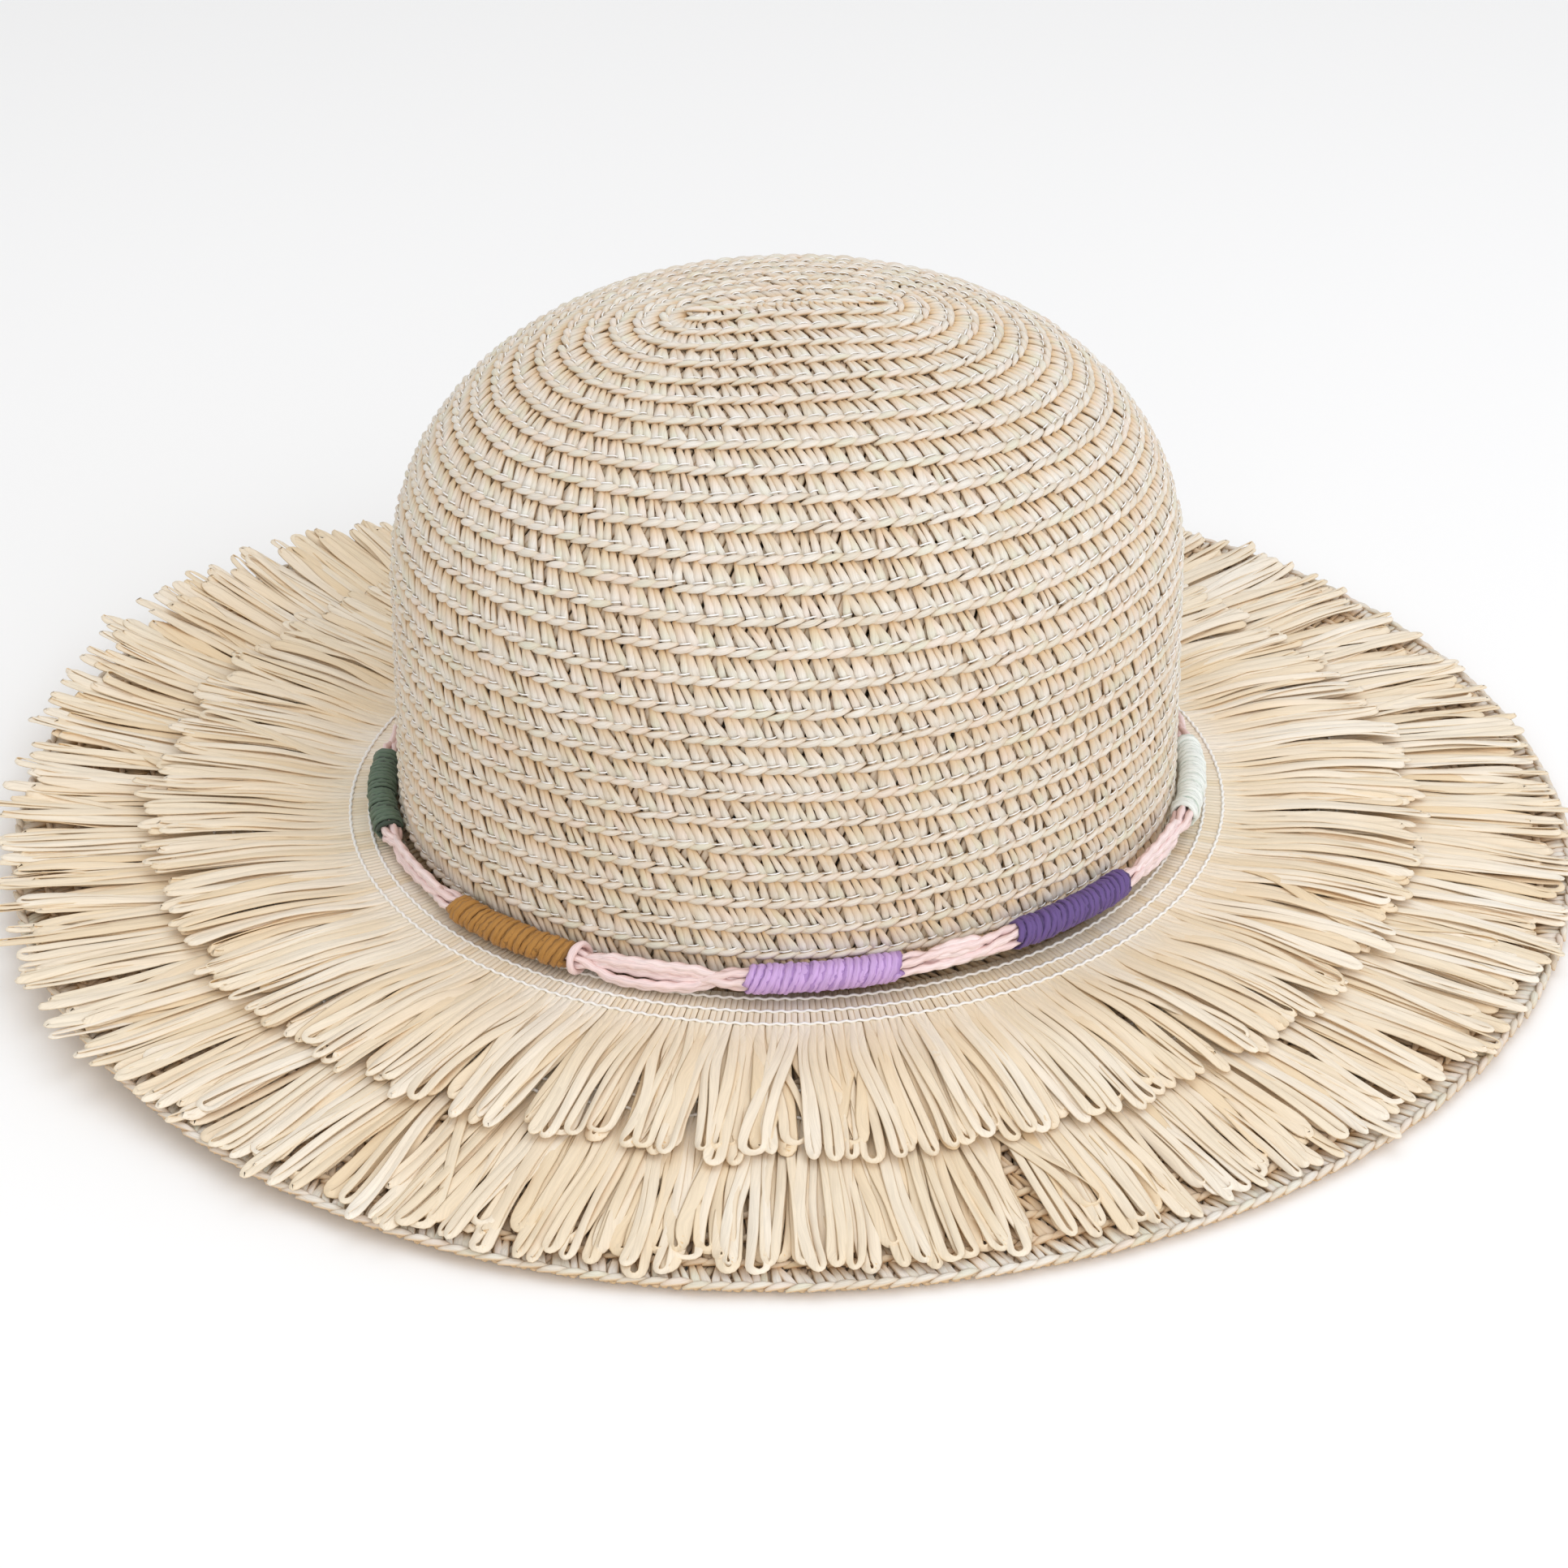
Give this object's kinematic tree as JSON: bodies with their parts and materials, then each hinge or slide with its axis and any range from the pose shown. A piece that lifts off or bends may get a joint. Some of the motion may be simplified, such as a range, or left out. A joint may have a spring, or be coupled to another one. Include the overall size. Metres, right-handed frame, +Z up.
{
  "type": "straw sun hat",
  "caption": "Wide-brimmed straw sun hat with a rounded oval crown, two tiers of looped raffia fringe on the brim and a yarn band with coloured wraps.",
  "frame": {"origin": "the middle of the hat's oval outline, level with the flat underside of the brim's last round, on which the hat stands", "axes": "+Z up through the crown, +X along the oval's length from the front of the head to the back, +Y to the side"},
  "size_m": [0.3978, 0.365, 0.1415],
  "materials": {
    "straw_braid": "plaited flat paper straw, lapped and sewn round and round, light beige, dry and matt",
    "raffia": "folded strands of flat paper raffia in loops, cream with ochre shadows, a faint silky sheen",
    "seam_cotton": "off-white sewing cotton",
    "pink_yarn": "twisted paper yarn, pale pink, matt",
    "green_yarn": "flat yarn wound tightly, dark green, matt",
    "tan_yarn": "flat yarn wound tightly, tan, matt",
    "lilac_yarn": "flat yarn wound tightly, lilac, matt",
    "purple_yarn": "flat yarn wound tightly, dark purple, matt",
    "mint_yarn": "flat yarn wound tightly, pale mint, matt",
    "sweatband_cotton": "woven cotton tape, off-white, matt"
  },
  "bodies": {
    "root": {"crown_braid": "straw_braid", "brim_braid": "straw_braid", "lower_fringe": "raffia", "upper_fringe": "raffia", "lower_fringe_first_seam": "seam_cotton", "lower_fringe_second_seam": "seam_cotton", "lower_fringe_third_seam": "seam_cotton", "upper_fringe_first_seam": "seam_cotton", "upper_fringe_second_seam": "seam_cotton", "upper_fringe_third_seam": "seam_cotton", "band_strand_1": "pink_yarn", "band_strand_2": "pink_yarn", "band_strand_3": "pink_yarn", "band_strand_4": "pink_yarn", "band_strand_5": "pink_yarn", "band_strand_6": "pink_yarn", "wrap_green": "green_yarn", "wrap_tan": "tan_yarn", "wrap_lilac": "lilac_yarn", "wrap_purple": "purple_yarn", "wrap_mint": "mint_yarn", "wrap_back_green": "green_yarn", "wrap_back_tan": "tan_yarn", "wrap_back_lilac": "lilac_yarn", "wrap_back_purple": "purple_yarn", "band_knot": "pink_yarn", "sweatband": "sweatband_cotton", "sweatband_seam": "seam_cotton"}
  },
  "joints": []
}
